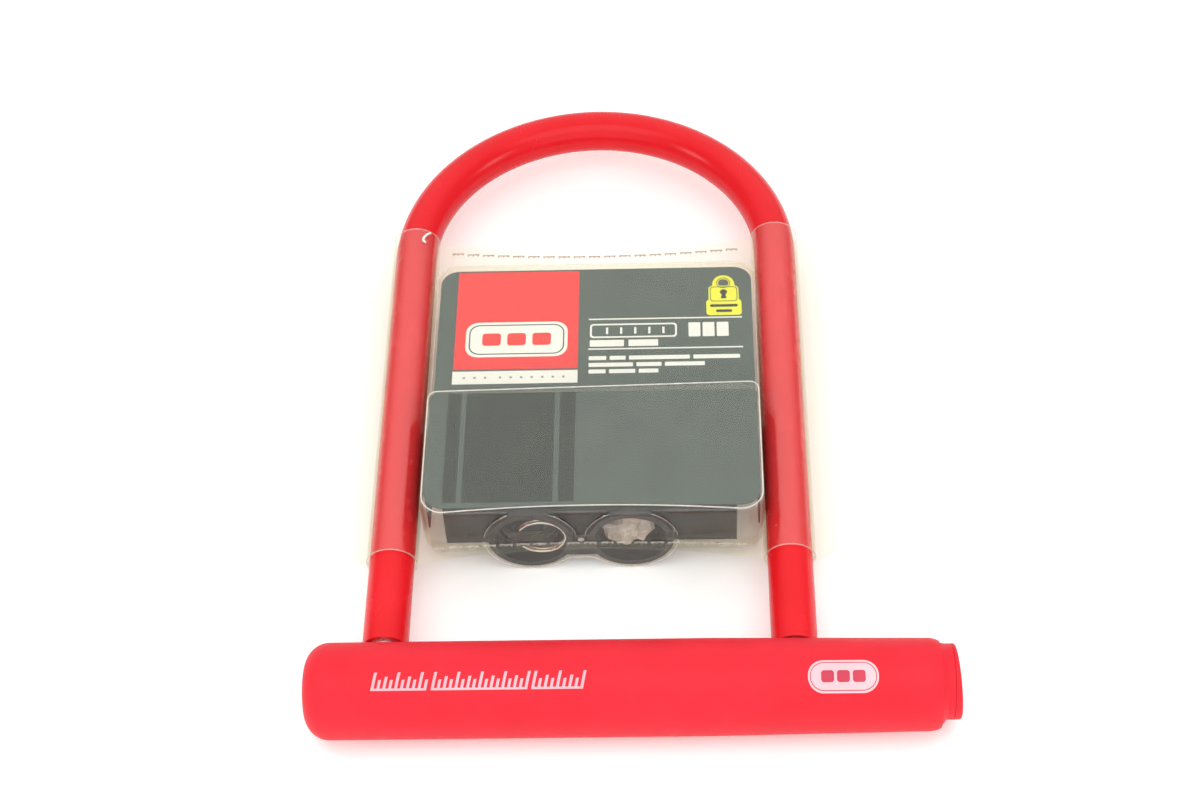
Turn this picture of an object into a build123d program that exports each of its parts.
"""Bicycle U-lock, closed and unlocked, with its retail blister pack round the shackle legs.

Frame: X runs along the crossbar towards its keyed end, Y from the crossbar to the bend, Z up from the
surface that the lock lies on. The origin is on the crossbar's axis, midway between the shackle's legs.
All sizes are in millimetres.
"""

from build123d import *
import os
from math import cos, radians, sin

# ---------------------------------------------------------------- driving dimensions
BAR_R = 6.0  # shackle steel, 12 mm round bar
COAT = 1.5  # soft vinyl on the shackle
LEG_X = 66.0  # leg axes, either side of the centre
BEND_Y = 186.0  # where the legs turn into the bend
LEG_TIP_Y = -8.0  # how far the legs reach into the crossbar
COAT_ENDS = (15.7, 14.2)  # the left vinyl stops just short of the sleeve, the right goes into it
BARREL_R = 15.5  # crossbar over its sleeve
TUBE_R, TUBE_BORE = 14.0, 11.5
TUBE_X0, TUBE_X1 = -86.0, 108.0
SLEEVE_X0, SLEEVE_X1 = -90.3, 111.0
SLEEVE_CORNER = 7.8  # round of the closed left end
TAPER_X, TAPER_R = 38.0, 14.7  # the sleeve narrows from here to TAPER_R at the shoulder
SHOULDER_X, SHOULDER_R = 107.5, 13.8  # where the right end starts to neck in, and its radius at the end
LIP_X, LIP_R = 109.7, 13.3  # inner lip that traps the end collar

# ---------------------------------------------------------------- locking mechanism
LEG_FIT = 0.15  # clearance round a leg in its guide
LOCK_BAR_R, LOCK_BAR_X0 = 2.6, -74.0
LOCK_TRAVEL = 3.6
LOCK_BAR_Z = -8.75  # unlocked
LOCKED_Z = LOCK_BAR_Z + LOCK_TRAVEL
NOTCH_R = 2.85
GUIDE_R = 11.4
GUIDE_X = ((-80.5, -54.0), (54.0, 74.8))  # left and right leg guides
GUIDE_PINS = ((-77.0, -8.0), (57.0, -8.0))  # x, y
GUIDE_PIN_L, CYLINDER_PIN_L = 10.2, 9.3  # half lengths
PIN_R = 1.5
CRANK = LOCK_TRAVEL / 2 / sin(radians(45))  # the crank pin swings 45 degrees either side of level
CRANK_PIN_R = 1.25
YOKE_X = (75.0, 77.2)
YOKE_STEM_W, YOKE_STEM_H = 4.8, 10.5
YOKE_HEAD_W, YOKE_HEAD_H = 7.4, 6.2
YOKE_SLOT_W, YOKE_FIT = 3.9, 0.13
CAM_X = (77.5, 80.1)
CAM_WEB = 0.6  # closed front of the cam, which carries the crank pin
TAIL_R = 2.4
CAM_R = 5.5

# ---------------------------------------------------------------- lock cylinder
HOUSING_X = (80.2, 107.8)
PLUG_R = 6.0
PLUG_FIT = 0.05
PLUG_X = (80.2, 108.6)
PLUG_RIM_R, PLUG_RIM_X = 7.2, 106.4
KEYWAY = (2.0, 8.4)  # width along Y, height along Z
KEYWAY_X0 = 84.0
WAFERS = 6
WAFER_X0, WAFER_PITCH, WAFER_T = 86.0, 3.2, 1.0
WAFER_W, WAFER_H = 5.0, 10.8
WAFER_EAR_W, WAFER_EAR_Z = 1.9, 2.5  # side ear that the wafer's spring pushes up
WAFER_FIT = 0.05
WAFER_CHANNEL_H = 15.4  # room for the wafers above and below the plug
SPRING_Y, SPRING_Z, SPRING_H = 3.5, -2.45, 4.3
CYLINDER_PIN = (97.0, -8.9)  # x, y

# ---------------------------------------------------------------- keyed end
NUB_R = 12.0
NUB_Y, NUB_Z = 0.7, 0.5  # the nub stands a little off the crossbar's axis
COLLAR_X = (108.0, 109.5, 111.0, 112.8, 115.0)  # flange, neck, cone, nub, face
COVER_X = (115.06, 117.6)
COVER_MID_X = 116.85  # the cover's outer face on the nub's axis
COVER_SLOPE = 0.0625  # the cover's outer face leans back towards the pivot
SCREW_HEAD_X = 115.6
PIVOT_Y, PIVOT_Z = 7.3, 6.1
PIVOT_R = 1.15
COLLAR_SCREWS = ((8.6, -3.2), (-3.2, 8.6))  # y, z
SCREW_R, SCREW_HEAD_R, SCREW_HEAD_T, SCREW_SINK, SCREW_DEPTH = 0.9, 1.4, 1.2, 1.4, 4.6
PIVOT_HEAD_R, PIVOT_HEAD_T = 2.05, 0.7
COVER_RIB = (9.0, 1.4, 0.8)  # length, width and height of the finger rib
LABEL_X, LABEL_TILT = 79.8, 21.0  # centre along X, and degrees forward of straight up
LABEL_W, LABEL_H, LABEL_T = 22.0, 10.4, 0.15

# ---------------------------------------------------------------- blister pack
SHEET = 0.5  # each clear shell
PACK_X = 83.0
PACK_Y0, PACK_Y1 = 49.0, 190.0
TUNNEL_R, TUNNEL_Y1 = 8.1, 194.0
TRAY_MID, TRAY_X = 0.75, 57.1  # the trays' middle, and their half width at the flange
TRAY_Y0, TRAY_Y1, STEP_Y = 58.2, 176.5, 112.4
TRAY_LOW, TRAY_HIGH, TRAY_BACK = 6.5, 14.5, 6.0
TRAY_CORNERS, STEP_CORNERS = (7.3, 7.0), (7.3, 3.0)  # lower and upper corners
STEP_TILT = 1.15  # the step's right end stands this much higher than its middle
POCKET_XS, POCKET_Z, POCKET_R = (-20.1, 13.5), 0.5, 15.5  # round pockets over the bracket's rings
POCKET_Y0, POCKET_Y1, POCKET_LIP = 57.8, (62.2, 114.0), 0.7  # y1 in front, and behind
WAIST_Z, WAIST_ROUND = 9.0, 6.0  # depth between the two pockets, and the round into them
DRAFT = 2.0  # degrees, on every wall
TRAY_LIP = 0.8  # round of the trays' rims
TAB_W, TAB_H = 24.0, 20.0  # the flange's tabs at the upper ends of the tunnels
BOW_LOW_Y, BOW_LOW_R = 54.6, 303.0  # middle and radius of the flange's hollow lower edge
BOW_TOP_Y, BOW_TOP_R = 187.4, 260.0  # the same for its upper edge, between the legs

# ---------------------------------------------------------------- insert card, one folded sheet
CARD_T = 0.5
CARD_GAP = 0.15  # behind the clear shell
FLAP_X, FLAP_Y, FLAP_Z = 48.8, 61.4, -5.5
CARD_X, CARD_TOP, CARD_CORNER = 56.0, 174.0, 6.5
RAISED_X, RAISED_CORNERS = 56.0, (6.5, 2.0)  # lower and upper corners
CARD_LOW, CARD_HIGH = TRAY_LOW - CARD_GAP, TRAY_HIGH - CARD_GAP  # front faces of the two panels
CARD_STEP_Y = STEP_Y - 2.2
RISER_X = RAISED_X - 1.5

# ---------------------------------------------------------------- frame bracket
LEFT_RING_X, HINGE_X, RIGHT_RING_X, RING_Z = -20.1, -3.3, 13.5, -0.6
RING_SPOTS = ((LEFT_RING_X, RING_Z), (RIGHT_RING_X, RING_Z))
RING_R, RING_BORE = 14.2, 12.1
RING_Y0, RING_Y1 = 58.2, 87.0
CARD_HOLE_R, CARD_NOTCH_Z = RING_R + 0.2, 2.6  # the rings pass through the card's flap
KNUCKLE_R, KNUCKLE_WEB, HINGE_PIN_R = 2.3, 3.2, 1.1
KNUCKLES = (RING_Y0 + 0.6, RING_Y0 + 7, RING_Y1 - 7, RING_Y1)
PAD_BORE, PAD_Y0 = 10.8, 63.0
LUG_X0, LUG_X1, LUG_Y0, LUG_T = -40.7, -32.1, 63.5, 2.6
LUG_Z = (RING_Z - 0.3, RING_Z + 0.5)  # facing sides of the two lugs
BRIDGE_T = 7.1
BRIDGE_W = RIGHT_RING_X - LEFT_RING_X - 2 * RING_R + 6
BOLT_SPOTS = ((-37.3, 68.5), (-37.3, 82.0))
BOLT_R, BOLT_HEAD_R, BOLT_HEAD_T, NUT_T = 1.5, 2.9, 2.2, 2.0
BOLT_HEAD_Z, NUT_TOP_Z = LUG_Z[1] + LUG_T, LUG_Z[0] - LUG_T

# ---------------------------------------------------------------- keys
KEY_X = -20.6
KEY_ZS = (RING_Z + 2.1, RING_Z - 2.1)
HEAD_W, HEAD_T, HEAD_Y0, HEAD_Y1, HEAD_CORNER = 18.4, 3.4, 58.4, 81.4, 5.0
BLADE_W, BLADE_T, BLADE_Y0, BLADE_Y1 = 7.8, 1.8, 74.0, 107.5
CUT_Y0, CUTS = 86.0, (1.2, 2.8, 2.0, 1.2, 2.0, 2.8)  # where the cuts start, and their sizes
EYELET_Y, EYELET_W, EYELET_H = 60.9, 11.6, 3.4
SPLIT_RING_X, SPLIT_RING_R, WIRE_R = -24.7, 8.1, 0.5


def across(x):
    """A plane square to the crossbar at x: its own x is Y, its own y is Z, and it faces +X."""
    return Plane.YZ.offset(x)


def along(y):
    """A plane square to the legs at y: its own x is X, its own y is Z, and it faces -Y."""
    return Plane.XZ.offset(-y)


def save(piece, name):
    """Labels a finished piece and writes it."""
    piece.part.label = name
    export_step(piece.part, f"parts/{name}.step")


def cross_recess(length, width):
    """The recess of a cross-head screw, drawn in the sketch it is called from."""
    Rectangle(length, width)
    Rectangle(width, length)


def coil(radius, wire, pitch, height):
    """A coil spring standing on the XY plane, on the Z axis."""
    with BuildPart() as spring:
        with BuildLine() as path:
            Helix(pitch=pitch, height=height, radius=radius)
        with BuildSketch(Plane(origin=path.line @ 0, z_dir=path.line % 0)):
            Circle(wire)
        sweep()
    return spring.part


def tray(y0, y1, depth, corners, lip, grow, tilt=0.0):
    """A block with drafted sides, the space inside one tray of a formed shell, grown by grow.

    corners are the lower and upper corner radii, and tilt lifts the right end of the upper edge.
    """
    half = TRAY_X + grow
    with BuildPart() as block:
        with BuildSketch() as outline:
            Polygon(
                (TRAY_MID - half, y0 - grow),
                (TRAY_MID + half, y0 - grow),
                (TRAY_MID + half, y1 + grow + tilt),
                (TRAY_MID - half, y1 + grow - tilt),
                align=None,
            )
            fillet(outline.vertices().sort_by(Axis.Y)[:2], corners[0] + grow)
            fillet(outline.vertices().sort_by(Axis.Y)[-2:], corners[1] + grow)
        extrude(amount=depth + grow, taper=DRAFT)
        fillet(block.faces().sort_by(Axis.Z)[-1].edges(), lip + grow)
    return block.part


def ring_pockets(front, grow):
    """The pockets over the bracket's rings: two discs in front, a figure of eight behind."""
    z, y1 = (POCKET_Z, POCKET_Y1[0]) if front else (-POCKET_Z, POCKET_Y1[1])
    with BuildPart() as pockets:
        with BuildSketch(along(POCKET_Y0 - grow)) as face:
            with Locations(*[(x, z) for x in POCKET_XS]):
                Circle(POCKET_R + grow)
            if not front:
                with Locations((sum(POCKET_XS) / 2, 0)):
                    Rectangle(POCKET_XS[1] - POCKET_XS[0], 2 * (WAIST_Z + grow))
                fillet(face.vertices().group_by(Axis.Y)[-1], WAIST_ROUND - grow)
            with Locations((0, 0)):
                Rectangle(
                    2 * TRAY_X,
                    TRAY_HIGH + grow if front else POCKET_R + 1,
                    align=(Align.CENTER, Align.MIN),
                    mode=Mode.INTERSECT,
                )
        extrude(amount=-(y1 - POCKET_Y0 + grow))
        rim = pockets.faces().sort_by(Axis.Y)[0].edges()
        fillet(rim.filter_by(lambda edge: edge.center().Z > 1), POCKET_LIP + grow)
    return pockets.part


def tunnel(x, y0, y1, grow):
    """The half-round channel over one leg."""
    with BuildPart() as channel:
        with BuildSketch(along(y0)):
            with Locations((x, 0)):
                Circle(TUNNEL_R + grow)
        extrude(amount=-(y1 - y0))
        split(bisect_by=Plane.XY, keep=Keep.TOP)
    return channel.part


def formed_shell(front):
    """One shell, drawn with its bulge along +Z: a flange with trays and tunnels one sheet thick."""
    outer = [tunnel(x, PACK_Y0, TUNNEL_Y1, SHEET) for x in (-LEG_X, LEG_X)]
    inner = [tunnel(x, PACK_Y0 - 9, TUNNEL_Y1 + 9, 0) for x in (-LEG_X, LEG_X)]
    for made, grow in ((outer, SHEET), (inner, 0)):
        if front:
            made.append(tray(TRAY_Y0, TRAY_Y1, TRAY_LOW, TRAY_CORNERS, TRAY_LIP, grow))
            made.append(tray(TRAY_Y0, STEP_Y, TRAY_HIGH, STEP_CORNERS, TRAY_LIP, grow, STEP_TILT))
        else:
            made.append(tray(TRAY_Y0, TRAY_Y1, TRAY_BACK, TRAY_CORNERS, TRAY_LIP, grow))
        made.append(ring_pockets(front, grow))
    with BuildPart() as shell:
        with BuildSketch():
            with Locations((0, (PACK_Y0 + PACK_Y1) / 2)):
                RectangleRounded(2 * PACK_X, PACK_Y1 - PACK_Y0, 9)
            with Locations(*[(x, TUNNEL_Y1 - TAB_H / 2) for x in (-LEG_X, LEG_X)]):
                RectangleRounded(TAB_W, TAB_H, 3)
            with Locations((0, TUNNEL_Y1)):
                Rectangle(2 * LEG_X, TAB_H, align=(Align.CENTER, Align.MAX))
            with Locations((0, BOW_LOW_Y - BOW_LOW_R)):
                Circle(BOW_LOW_R, mode=Mode.SUBTRACT)
            with Locations((0, BOW_TOP_Y + BOW_TOP_R)):
                Circle(BOW_TOP_R, mode=Mode.SUBTRACT)
        extrude(amount=SHEET)
        for form in outer:
            add(form)
        for form in inner:
            add(form, mode=Mode.SUBTRACT)
    return shell.part


os.makedirs("parts", exist_ok=True)

# ================================================================ shackle
with BuildPart() as shackle_bar:
    with BuildLine() as bar_path:
        Line((-LEG_X, LEG_TIP_Y), (-LEG_X, BEND_Y))
        ThreePointArc((-LEG_X, BEND_Y), (0, BEND_Y + LEG_X), (LEG_X, BEND_Y))
        Line((LEG_X, BEND_Y), (LEG_X, LEG_TIP_Y))
    with BuildSketch(along(LEG_TIP_Y)):
        with Locations((-LEG_X, 0)):
            Circle(BAR_R)
    sweep(path=bar_path.line)
    chamfer(shackle_bar.faces().filter_by(GeomType.PLANE).edges(), 1.2)
    for leg in (-LEG_X, LEG_X):
        with BuildSketch(across(leg - BAR_R - 1)):
            with Locations((0, LOCKED_Z)):
                Circle(NOTCH_R)
        extrude(amount=2 * BAR_R + 2, mode=Mode.SUBTRACT)
save(shackle_bar, "shackle_bar")

with BuildPart() as shackle_coating:
    with BuildLine() as coat_path:
        Line((-LEG_X, COAT_ENDS[0]), (-LEG_X, BEND_Y))
        ThreePointArc((-LEG_X, BEND_Y), (0, BEND_Y + LEG_X), (LEG_X, BEND_Y))
        Line((LEG_X, BEND_Y), (LEG_X, COAT_ENDS[1]))
    with BuildSketch(along(COAT_ENDS[0])):
        with Locations((-LEG_X, 0)):
            Circle(BAR_R + COAT)
            Circle(BAR_R, mode=Mode.SUBTRACT)
    sweep(path=coat_path.line)
save(shackle_coating, "shackle_coating")

# ================================================================ crossbar
with BuildPart() as crossbar_tube:
    with BuildSketch(across(TUBE_X0)):
        Circle(TUBE_R)
        Circle(TUBE_BORE, mode=Mode.SUBTRACT)
    extrude(amount=TUBE_X1 - TUBE_X0)
    with BuildSketch(along(0)):
        with Locations((-LEG_X, 0), (LEG_X, 0)):
            Circle(BAR_R + 2 * LEG_FIT)
    extrude(amount=-BARREL_R, mode=Mode.SUBTRACT)
    with BuildSketch():
        with Locations(*GUIDE_PINS, CYLINDER_PIN):
            Circle(PIN_R)
    extrude(amount=BARREL_R, both=True, mode=Mode.SUBTRACT)
save(crossbar_tube, "crossbar_tube")

with BuildPart() as crossbar_sleeve:
    with BuildSketch() as sleeve_half:
        with BuildLine():
            TangentArc((SHOULDER_X, TAPER_R), (SLEEVE_X1, SHOULDER_R), tangent=(1, 0))
            Polyline(
                (SLEEVE_X1, SHOULDER_R),
                (SLEEVE_X1, LIP_R),
                (LIP_X, LIP_R),
                (LIP_X, TUBE_R),
                (TUBE_X0, TUBE_R),
                (TUBE_X0, 0),
                (SLEEVE_X0, 0),
                (SLEEVE_X0, BARREL_R),
                (TAPER_X, BARREL_R),
                (SHOULDER_X, TAPER_R),
            )
        make_face()
        fillet(sleeve_half.vertices().group_by(Axis.Y)[-1].sort_by(Axis.X)[0], SLEEVE_CORNER)
    revolve(axis=Axis.X)
    with BuildSketch(along(0)):
        with Locations((-LEG_X, 0)):
            Circle(BAR_R + 4 * LEG_FIT)
        with Locations((LEG_X, 0)):
            Circle(BAR_R + COAT + 2 * LEG_FIT)
    extrude(amount=-(BARREL_R + 1), mode=Mode.SUBTRACT)
save(crossbar_sleeve, "crossbar_sleeve")

with BuildPart() as left_end_plug:
    with BuildSketch(across(TUBE_X0 + 0.2)):
        Circle(GUIDE_R)
    extrude(amount=GUIDE_X[0][0] - TUBE_X0 - 0.4)
    chamfer(left_end_plug.edges(), 0.5)
save(left_end_plug, "left_end_plug")

for name, leg, (x0, x1), pin in zip(
    ("left_leg_guide", "right_leg_guide"), (-LEG_X, LEG_X), GUIDE_X, GUIDE_PINS
):
    with BuildPart() as leg_guide:
        with BuildSketch(across(x0)):
            Circle(GUIDE_R)
        extrude(amount=x1 - x0)
        with BuildSketch(along(LEG_TIP_Y - 0.6)):
            with Locations((leg, 0)):
                Circle(BAR_R + LEG_FIT)
        extrude(amount=-(GUIDE_R - LEG_TIP_Y + 1), mode=Mode.SUBTRACT)
        with BuildSketch(across(x0)):
            with Locations((0, LOCKED_Z)):
                Circle(LOCK_BAR_R + LEG_FIT)
            with Locations((0, LOCKED_Z)):
                Rectangle(2 * (LOCK_BAR_R + LEG_FIT), GUIDE_R, align=(Align.CENTER, Align.MAX))
        extrude(amount=x1 - x0, mode=Mode.SUBTRACT)
        with BuildSketch():
            with Locations(pin):
                Circle(PIN_R)
        extrude(amount=BARREL_R, both=True, mode=Mode.SUBTRACT)
    save(leg_guide, name)

with BuildPart() as guide_pins:
    with BuildSketch():
        with Locations(*GUIDE_PINS):
            Circle(PIN_R)
            Circle(PIN_R - 0.5, mode=Mode.SUBTRACT)
    extrude(amount=GUIDE_PIN_L, both=True)
save(guide_pins, "guide_pins")

# ================================================================ locking mechanism
with BuildPart() as lock_bar:
    with BuildSketch(across(LOCK_BAR_X0)):
        with Locations((0, LOCK_BAR_Z)):
            Circle(LOCK_BAR_R)
    extrude(amount=YOKE_X[0] - LOCK_BAR_X0)
    chamfer(lock_bar.faces().sort_by(Axis.X)[0].edges(), 0.6)
    with BuildSketch(across(YOKE_X[0])):
        with Locations((0, LOCK_BAR_Z - 2.0)):
            Rectangle(YOKE_STEM_W, YOKE_STEM_H, align=(Align.CENTER, Align.MIN))
        with Locations((-YOKE_STEM_W / 2, -LOCK_TRAVEL / 2)):
            Rectangle(YOKE_HEAD_W, YOKE_HEAD_H, align=(Align.MIN, Align.CENTER))
        with Locations((CRANK * 0.85, -LOCK_TRAVEL / 2)):
            SlotOverall(YOKE_SLOT_W, 2 * (CRANK_PIN_R + YOKE_FIT), mode=Mode.SUBTRACT)
    extrude(amount=YOKE_X[1] - YOKE_X[0])
save(lock_bar, "lock_bar")

with BuildPart() as crank_cam:
    with BuildSketch(across(CAM_X[0])):
        Circle(CAM_R)
    extrude(amount=CAM_X[1] - CAM_X[0])
    with BuildSketch(across(CAM_X[0] + CAM_WEB)):
        Circle(TAIL_R)
    extrude(amount=CAM_X[1] - CAM_X[0], mode=Mode.SUBTRACT)
    with BuildSketch(across(YOKE_X[0] + 0.1)):
        with Locations((CRANK * cos(radians(45)), -CRANK * sin(radians(45)))):
            Circle(CRANK_PIN_R)
    extrude(amount=CAM_X[0] - YOKE_X[0])
save(crank_cam, "crank_cam")

# ================================================================ lock cylinder
wafer_xs = [WAFER_X0 + i * WAFER_PITCH for i in range(WAFERS)]

with BuildPart() as cylinder_housing:
    with BuildSketch(across(HOUSING_X[0])):
        Circle(GUIDE_R)
        Circle(PLUG_R + PLUG_FIT, mode=Mode.SUBTRACT)
    extrude(amount=HOUSING_X[1] - HOUSING_X[0])
    with BuildSketch(across(PLUG_RIM_X - 0.1)):
        Circle(PLUG_RIM_R + PLUG_FIT)
    extrude(amount=2, mode=Mode.SUBTRACT)
    with BuildSketch(across(wafer_xs[0] - WAFER_PITCH / 2)):
        Rectangle(WAFER_W + 0.6, WAFER_CHANNEL_H)
    extrude(amount=WAFER_PITCH * WAFERS - 0.2, mode=Mode.SUBTRACT)
    with BuildSketch():
        with Locations(CYLINDER_PIN):
            Circle(PIN_R)
    extrude(amount=BARREL_R, both=True, mode=Mode.SUBTRACT)
    with BuildSketch(across(HOUSING_X[1] - SCREW_DEPTH)):
        with Locations(*COLLAR_SCREWS):
            Circle(SCREW_R)
    extrude(amount=SCREW_DEPTH, mode=Mode.SUBTRACT)
save(cylinder_housing, "cylinder_housing")

with BuildPart() as cylinder_plug:
    with BuildSketch(across(PLUG_X[0])):
        Circle(PLUG_R)
    extrude(amount=PLUG_X[1] - PLUG_X[0])
    with BuildSketch(across(PLUG_RIM_X)):
        Circle(PLUG_RIM_R)
    extrude(amount=PLUG_X[1] - PLUG_RIM_X)
    chamfer(cylinder_plug.faces().sort_by(Axis.X)[-1].edges(), 0.4)
    with BuildSketch(across(CAM_X[0] + CAM_WEB)):
        Circle(TAIL_R)
    extrude(amount=PLUG_X[0] - CAM_X[0] - CAM_WEB)
    with BuildSketch(across(KEYWAY_X0)):
        Rectangle(*KEYWAY)
    extrude(amount=PLUG_X[1] - KEYWAY_X0, mode=Mode.SUBTRACT)
    for x in wafer_xs:
        with BuildSketch(across(x - WAFER_FIT)):
            Rectangle(WAFER_W + 2 * WAFER_FIT, 2 * PLUG_R + 1)
            with Locations((WAFER_W / 2, 0.3)):
                Rectangle(WAFER_EAR_W + 0.3, 5.8, align=(Align.MIN, Align.CENTER))
        extrude(amount=WAFER_T + 2 * WAFER_FIT, mode=Mode.SUBTRACT)
save(cylinder_plug, "cylinder_plug")

with BuildPart() as wafers:
    for x in wafer_xs:
        with BuildSketch(across(x)):
            Rectangle(WAFER_W, WAFER_H)
            with Locations((WAFER_W / 2, WAFER_EAR_Z)):
                Rectangle(WAFER_EAR_W, WAFER_T, align=(Align.MIN, Align.CENTER))
            Rectangle(KEYWAY[0] + 0.4, 6.2, mode=Mode.SUBTRACT)
        extrude(amount=WAFER_T)
save(wafers, "wafers")

wafer_spring = coil(radius=0.38, wire=0.1, pitch=0.55, height=SPRING_H)
with BuildPart() as wafer_springs:
    with Locations(*[(x + WAFER_T / 2, SPRING_Y, SPRING_Z) for x in wafer_xs]):
        add(wafer_spring)
save(wafer_springs, "wafer_springs")

with BuildPart() as cylinder_pin:
    with BuildSketch():
        with Locations(CYLINDER_PIN):
            Circle(PIN_R)
            Circle(PIN_R - 0.5, mode=Mode.SUBTRACT)
    extrude(amount=CYLINDER_PIN_L, both=True)
save(cylinder_pin, "cylinder_pin")

# ================================================================ keyed end
with BuildPart() as end_collar:
    with BuildSketch(across(COLLAR_X[0])):
        Circle(TUBE_R - 0.1)
    extrude(amount=COLLAR_X[1] - COLLAR_X[0])
    with BuildSketch(across(COLLAR_X[1])):
        Circle(LIP_R - 0.1)
    extrude(amount=COLLAR_X[2] - COLLAR_X[1])
    with BuildSketch(across(COLLAR_X[2])):
        Circle(LIP_R - 0.1)
    with BuildSketch(across(COLLAR_X[3])):
        with Locations((NUB_Y, NUB_Z)):
            Circle(NUB_R)
    loft()
    with BuildSketch(across(COLLAR_X[3])):
        with Locations((NUB_Y, NUB_Z)):
            Circle(NUB_R)
    extrude(amount=COLLAR_X[4] - COLLAR_X[3])
    chamfer(end_collar.faces().sort_by(Axis.X)[-1].edges(), 0.12)
    with BuildSketch(across(COLLAR_X[0])):
        Circle(PLUG_RIM_R + 0.3)
    extrude(amount=COLLAR_X[4] - COLLAR_X[0], mode=Mode.SUBTRACT)
    with BuildSketch(across(COLLAR_X[0])):
        with Locations(*COLLAR_SCREWS):
            Circle(SCREW_R)
        with Locations((PIVOT_Y, PIVOT_Z)):
            Circle(PIVOT_R)
    extrude(amount=COLLAR_X[4] - COLLAR_X[0], mode=Mode.SUBTRACT)
    with BuildSketch(across(COLLAR_X[4] - SCREW_SINK)):
        with Locations(*COLLAR_SCREWS):
            Circle(SCREW_HEAD_R + 0.05)
    extrude(amount=SCREW_SINK, mode=Mode.SUBTRACT)
save(end_collar, "end_collar")

with BuildPart() as collar_screws:
    with BuildSketch(across(HOUSING_X[1] - SCREW_DEPTH)):
        with Locations(*COLLAR_SCREWS):
            Circle(SCREW_R)
    extrude(amount=COLLAR_X[4] - SCREW_SINK - HOUSING_X[1] + SCREW_DEPTH)
    with BuildSketch(across(COLLAR_X[4] - SCREW_SINK)):
        with Locations(*COLLAR_SCREWS):
            Circle(SCREW_HEAD_R)
    extrude(amount=SCREW_HEAD_T)
    with BuildSketch(across(COLLAR_X[4] - SCREW_SINK + SCREW_HEAD_T / 2)):
        with Locations(*COLLAR_SCREWS):
            cross_recess(1.8, 0.4)
    extrude(amount=1, mode=Mode.SUBTRACT)
save(collar_screws, "collar_screws")

cover_face = Plane(
    origin=(COVER_MID_X, NUB_Y, NUB_Z),
    z_dir=(1, 0.8 * COVER_SLOPE, 0.6 * COVER_SLOPE),
)
with BuildPart() as dust_cover:
    with BuildSketch(across(COVER_X[0])):
        with Locations((NUB_Y, NUB_Z)):
            Circle(NUB_R)
    extrude(amount=COVER_X[1] - COVER_X[0] + 1)
    split(bisect_by=cover_face, keep=Keep.BOTTOM)
    fillet(dust_cover.faces().sort_by(Axis.X)[-1].edges(), 0.8)
    with BuildSketch(across(SCREW_HEAD_X - 0.05)):
        with Locations((PIVOT_Y, PIVOT_Z)):
            Circle(PIVOT_HEAD_R + 0.15)
    extrude(amount=4, mode=Mode.SUBTRACT)
    with BuildSketch(across(COVER_X[0])):
        with Locations((PIVOT_Y, PIVOT_Z)):
            Circle(PIVOT_R + 0.08)
    extrude(amount=4, mode=Mode.SUBTRACT)
    with BuildSketch(across(COVER_X[1] - COVER_RIB[2])):
        with Locations(Location((NUB_Y - 5.6, NUB_Z - 4.7), 130)):
            SlotOverall(*COVER_RIB[:2])
    extrude(amount=COVER_RIB[2])
save(dust_cover, "dust_cover")

with BuildPart() as cover_screw:
    with BuildSketch(across(COLLAR_X[0] + 0.2)):
        with Locations((PIVOT_Y, PIVOT_Z)):
            Circle(PIVOT_R)
    extrude(amount=SCREW_HEAD_X - COLLAR_X[0] - 0.2)
    with BuildSketch(across(SCREW_HEAD_X)):
        with Locations((PIVOT_Y, PIVOT_Z)):
            Circle(PIVOT_HEAD_R)
    extrude(amount=PIVOT_HEAD_T)
    fillet(cover_screw.faces().sort_by(Axis.X)[-1].edges(), 0.4)
    with BuildSketch(across(SCREW_HEAD_X + PIVOT_HEAD_T / 2)):
        with Locations((PIVOT_Y, PIVOT_Z)):
            cross_recess(2.2, 0.5)
    extrude(amount=1, mode=Mode.SUBTRACT)
save(cover_screw, "cover_screw")

# ================================================================ printed label on the sleeve
label_plane = Plane(
    origin=(LABEL_X, 0, 0),
    x_dir=(1, 0, 0),
    z_dir=(0, -sin(radians(LABEL_TILT)), cos(radians(LABEL_TILT))),
)
with BuildPart() as side_label:
    with BuildSketch(label_plane.offset(BARREL_R / 2)):
        RectangleRounded(LABEL_W, LABEL_H, LABEL_H / 2 - 0.3)
    extrude(amount=BARREL_R)
    with BuildSketch() as label_skin:
        Polygon(
            (TAPER_X, BARREL_R),
            (SHOULDER_X, TAPER_R),
            (SHOULDER_X, TAPER_R + LABEL_T),
            (TAPER_X, BARREL_R + LABEL_T),
            align=None,
        )
    revolve(axis=Axis.X, mode=Mode.INTERSECT)
save(side_label, "side_label")

# ================================================================ blister shells
front_shell = formed_shell(front=True)
with BuildPart() as pack_front_shell:
    add(front_shell)
save(pack_front_shell, "pack_front_shell")

back_shell = formed_shell(front=False)
with BuildPart() as pack_back_shell:
    add(back_shell)
    mirror(about=Plane.XY, mode=Mode.REPLACE)
save(pack_back_shell, "pack_back_shell")

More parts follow.
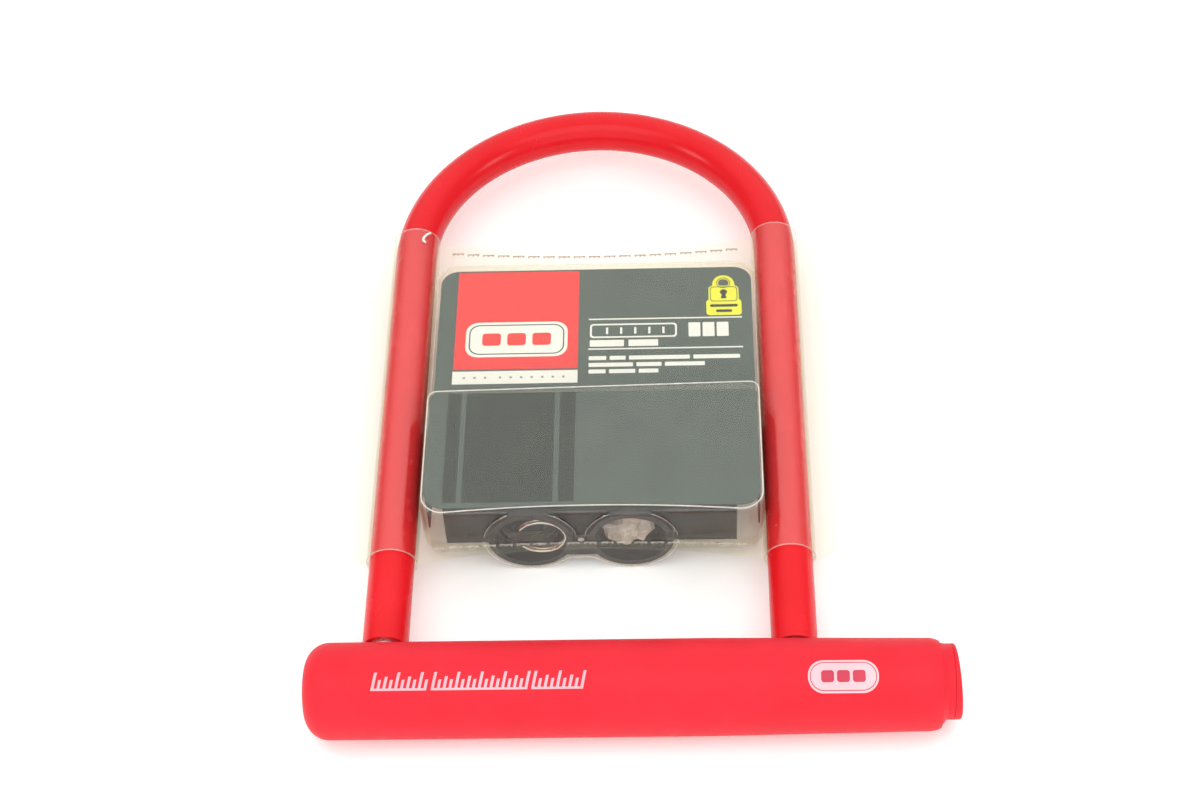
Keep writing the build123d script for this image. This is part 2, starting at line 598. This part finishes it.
# ================================================================ insert card
with BuildPart() as insert_card:
    with BuildSketch(Plane.XY.offset(CARD_LOW - CARD_T)):
        with Locations((TRAY_MID, CARD_STEP_Y)):
            Rectangle(2 * CARD_X, CARD_TOP - CARD_STEP_Y, align=(Align.CENTER, Align.MIN))
    extrude(amount=CARD_T)
    fillet(insert_card.edges().filter_by(Axis.Z).group_by(Axis.Y)[-1], CARD_CORNER)
    with BuildSketch(Plane.XY.offset(CARD_HIGH - CARD_T)) as raised_panel:
        with Locations((TRAY_MID, (FLAP_Y + CARD_STEP_Y) / 2)):
            Rectangle(2 * RAISED_X, CARD_STEP_Y - FLAP_Y)
        fillet(raised_panel.vertices().sort_by(Axis.Y)[:2], RAISED_CORNERS[0])
        fillet(raised_panel.vertices().sort_by(Axis.Y)[-2:], RAISED_CORNERS[1])
    extrude(amount=CARD_T)
    with BuildSketch(Plane.XY.offset(CARD_LOW - CARD_T)):
        with Locations((TRAY_MID, CARD_STEP_Y)):
            Rectangle(2 * RISER_X, CARD_T, align=(Align.CENTER, Align.MAX))
    extrude(amount=CARD_HIGH - CARD_LOW + CARD_T)
    with BuildSketch(Plane.XY.offset(FLAP_Z)):
        for side in (-1, 1):
            with Locations((TRAY_MID + side * (RAISED_X - CARD_T / 2), (FLAP_Y + CARD_STEP_Y) / 2)):
                Rectangle(CARD_T, CARD_STEP_Y - FLAP_Y - 2 * RAISED_CORNERS[0])
    extrude(amount=CARD_HIGH - FLAP_Z)
    with BuildSketch(along(FLAP_Y)):
        with Locations((0, CARD_HIGH)):
            Rectangle(2 * FLAP_X, CARD_HIGH - FLAP_Z, align=(Align.CENTER, Align.MAX))
        with Locations(*RING_SPOTS):
            Circle(CARD_HOLE_R, mode=Mode.SUBTRACT)
        with Locations((HINGE_X, CARD_NOTCH_Z)):
            Rectangle(2 * RING_R, 2 * RING_R, align=(Align.CENTER, Align.MAX), mode=Mode.SUBTRACT)
    extrude(amount=-CARD_T)
save(insert_card, "insert_card")

# ================================================================ frame bracket
with BuildPart() as bracket_body:
    with BuildSketch(along(RING_Y0)):
        with Locations(*RING_SPOTS):
            Circle(RING_R)
        with Locations((LEFT_RING_X, RING_Z + 0.3)):
            Rectangle(2 * RING_R + 1, RING_R + 1, align=(Align.CENTER, Align.MIN), mode=Mode.SUBTRACT)
        with Locations((HINGE_X, RING_Z - 1.0)):
            Rectangle(BRIDGE_W, BRIDGE_T, align=(Align.CENTER, Align.MAX))
        with Locations(*RING_SPOTS):
            Circle(RING_BORE, mode=Mode.SUBTRACT)
    extrude(amount=-(RING_Y1 - RING_Y0))
    with BuildSketch(along(LUG_Y0)):
        with Locations((LUG_X0, LUG_Z[0])):
            Rectangle(LUG_X1 - LUG_X0, LUG_T, align=(Align.MIN, Align.MAX))
        with Locations((LEFT_RING_X, RING_Z)):
            Circle(RING_BORE, mode=Mode.SUBTRACT)
    extrude(amount=-(RING_Y1 - LUG_Y0))
    for y0, y1 in (KNUCKLES[:2], KNUCKLES[2:]):
        with BuildSketch(along(y0)):
            with Locations((HINGE_X, RING_Z)):
                Circle(KNUCKLE_R)
                Rectangle(KNUCKLE_WEB, 2 * KNUCKLE_R, align=(Align.MIN, Align.CENTER))
        extrude(amount=-(y1 - y0))
    with BuildSketch(along(KNUCKLES[1] - 0.2)):
        with Locations((HINGE_X, RING_Z)):
            Circle(KNUCKLE_R + 0.25)
    extrude(amount=-(KNUCKLES[2] - KNUCKLES[1] + 0.4), mode=Mode.SUBTRACT)
    with BuildSketch(along(RING_Y0 - 1)):
        with Locations((HINGE_X, RING_Z)):
            Circle(HINGE_PIN_R)
    extrude(amount=-(RING_Y1 - RING_Y0 + 2), mode=Mode.SUBTRACT)
    with BuildSketch():
        with Locations(*BOLT_SPOTS):
            Circle(BOLT_R + 0.1)
    extrude(amount=8, both=True, mode=Mode.SUBTRACT)
save(bracket_body, "bracket_body")

with BuildPart() as bracket_jaw:
    with BuildSketch(along(RING_Y0)):
        with Locations((LEFT_RING_X, RING_Z)):
            Circle(RING_R)
        with Locations((LEFT_RING_X, LUG_Z[1])):
            Rectangle(2 * RING_R + 1, RING_R + 2, align=(Align.CENTER, Align.MAX), mode=Mode.SUBTRACT)
        with Locations((LEFT_RING_X, RING_Z)):
            Circle(RING_BORE, mode=Mode.SUBTRACT)
    extrude(amount=-(RING_Y1 - RING_Y0))
    with BuildSketch(along(LUG_Y0)):
        with Locations((LUG_X0, LUG_Z[1])):
            Rectangle(LUG_X1 - LUG_X0, LUG_T, align=(Align.MIN, Align.MIN))
        with Locations((LEFT_RING_X, RING_Z)):
            Circle(RING_BORE, mode=Mode.SUBTRACT)
    extrude(amount=-(RING_Y1 - LUG_Y0))
    with BuildSketch(along(KNUCKLES[0] - 1)):
        with Locations((HINGE_X, RING_Z)):
            Circle(KNUCKLE_R + 0.6)
    extrude(amount=-(RING_Y1 - RING_Y0 + 2), mode=Mode.SUBTRACT)
    with BuildSketch(along(KNUCKLES[1] + 0.2)):
        with Locations((HINGE_X, RING_Z)):
            Circle(KNUCKLE_R)
        with Locations((HINGE_X, LUG_Z[1])):
            Rectangle(4.4, KNUCKLE_R, align=(Align.MAX, Align.MIN))
        with Locations((HINGE_X, RING_Z)):
            Circle(HINGE_PIN_R, mode=Mode.SUBTRACT)
    extrude(amount=-(KNUCKLES[2] - KNUCKLES[1] - 0.4))
    with BuildSketch():
        with Locations(*BOLT_SPOTS):
            Circle(BOLT_R + 0.1)
    extrude(amount=8, both=True, mode=Mode.SUBTRACT)
save(bracket_jaw, "bracket_jaw")

with BuildPart() as jaw_pin:
    with BuildSketch(along(RING_Y0 + 0.2)):
        with Locations((HINGE_X, RING_Z)):
            Circle(HINGE_PIN_R)
    extrude(amount=-(RING_Y1 - RING_Y0 - 0.4))
save(jaw_pin, "jaw_pin")

with BuildPart() as jaw_bolts:
    with BuildSketch(Plane.XY.offset(NUT_TOP_Z - NUT_T)):
        with Locations(*BOLT_SPOTS):
            Circle(BOLT_R)
    extrude(amount=BOLT_HEAD_Z - NUT_TOP_Z + NUT_T)
    with BuildSketch(Plane.XY.offset(BOLT_HEAD_Z)):
        with Locations(*BOLT_SPOTS):
            Circle(BOLT_HEAD_R)
    extrude(amount=BOLT_HEAD_T)
    fillet(jaw_bolts.faces().group_by(Axis.Z)[-1].edges(), 0.8)
    with BuildSketch(Plane.XY.offset(BOLT_HEAD_Z + BOLT_HEAD_T / 2)):
        with Locations(*BOLT_SPOTS):
            cross_recess(3.6, 0.7)
    extrude(amount=BOLT_HEAD_T, mode=Mode.SUBTRACT)
save(jaw_bolts, "jaw_bolts")

with BuildPart() as jaw_nuts:
    with BuildSketch(Plane.XY.offset(NUT_TOP_Z - NUT_T)):
        with Locations(*BOLT_SPOTS):
            RegularPolygon(BOLT_HEAD_R, 6)
            Circle(BOLT_R, mode=Mode.SUBTRACT)
    extrude(amount=NUT_T)
save(jaw_nuts, "jaw_nuts")

with BuildPart() as tube_pad:
    with BuildSketch(along(PAD_Y0)):
        with Locations((LEFT_RING_X, RING_Z)):
            Circle(RING_BORE - 0.05)
            Circle(PAD_BORE, mode=Mode.SUBTRACT)
        with Locations((LEFT_RING_X - PAD_BORE, RING_Z)):
            Rectangle(5, 1.2, mode=Mode.SUBTRACT)
    extrude(amount=-(RING_Y1 - PAD_Y0 - 1))
save(tube_pad, "tube_pad")

# ================================================================ keys on their split ring
for number, z in enumerate(KEY_ZS, start=1):
    with BuildPart() as key_blade:
        with BuildSketch(Plane.XY.offset(z - BLADE_T / 2)):
            with Locations((KEY_X, BLADE_Y0)):
                Rectangle(BLADE_W, BLADE_Y1 - BLADE_Y0, align=(Align.CENTER, Align.MIN))
            for i, cut in enumerate(CUTS):
                with Locations(Location((KEY_X + BLADE_W / 2, CUT_Y0 + i * WAFER_PITCH), 45)):
                    Rectangle(cut, cut, mode=Mode.SUBTRACT)
        extrude(amount=BLADE_T)
        chamfer(key_blade.edges().filter_by(Axis.Z).group_by(Axis.Y)[-1], 3.0, 2.6)
        with BuildSketch(Plane.XY.offset(z + BLADE_T / 6)):
            with Locations((KEY_X - 1.2, (BLADE_Y0 + BLADE_Y1) / 2)):
                SlotOverall(BLADE_Y1 - BLADE_Y0 - 3, 1.6, rotation=90)
        extrude(amount=BLADE_T, mode=Mode.SUBTRACT)
    save(key_blade, f"key_blade_{number}")
    with BuildPart() as key_head:
        with BuildSketch(Plane.XY.offset(z - HEAD_T / 2)):
            with Locations((KEY_X, HEAD_Y0)):
                RectangleRounded(HEAD_W, HEAD_Y1 - HEAD_Y0, HEAD_CORNER, align=(Align.CENTER, Align.MIN))
        extrude(amount=HEAD_T)
        fillet(key_head.faces().filter_by(Axis.Z).edges(), 0.8)
        with BuildSketch(Plane.XY.offset(z - HEAD_T / 2)):
            with Locations((KEY_X, EYELET_Y)):
                SlotOverall(EYELET_W, EYELET_H)
        extrude(amount=HEAD_T, mode=Mode.SUBTRACT)
        with BuildSketch(Plane.XY.offset(z - BLADE_T / 2)):
            with Locations((KEY_X, BLADE_Y0)):
                Rectangle(BLADE_W, HEAD_Y1 - BLADE_Y0, align=(Align.CENTER, Align.MIN))
        extrude(amount=BLADE_T, mode=Mode.SUBTRACT)
    save(key_head, f"key_head_{number}")

with BuildPart() as split_ring:
    for turn in (-1, 0):
        with BuildSketch(Plane.XY.offset(RING_Z)):
            with Locations((SPLIT_RING_X, EYELET_Y + 0.03 + turn * (2 * WIRE_R + 0.05))):
                Circle(WIRE_R)
        revolve(axis=Axis((SPLIT_RING_X + SPLIT_RING_R, 0, RING_Z), (0, 1, 0)))
save(split_ring, "split_ring")
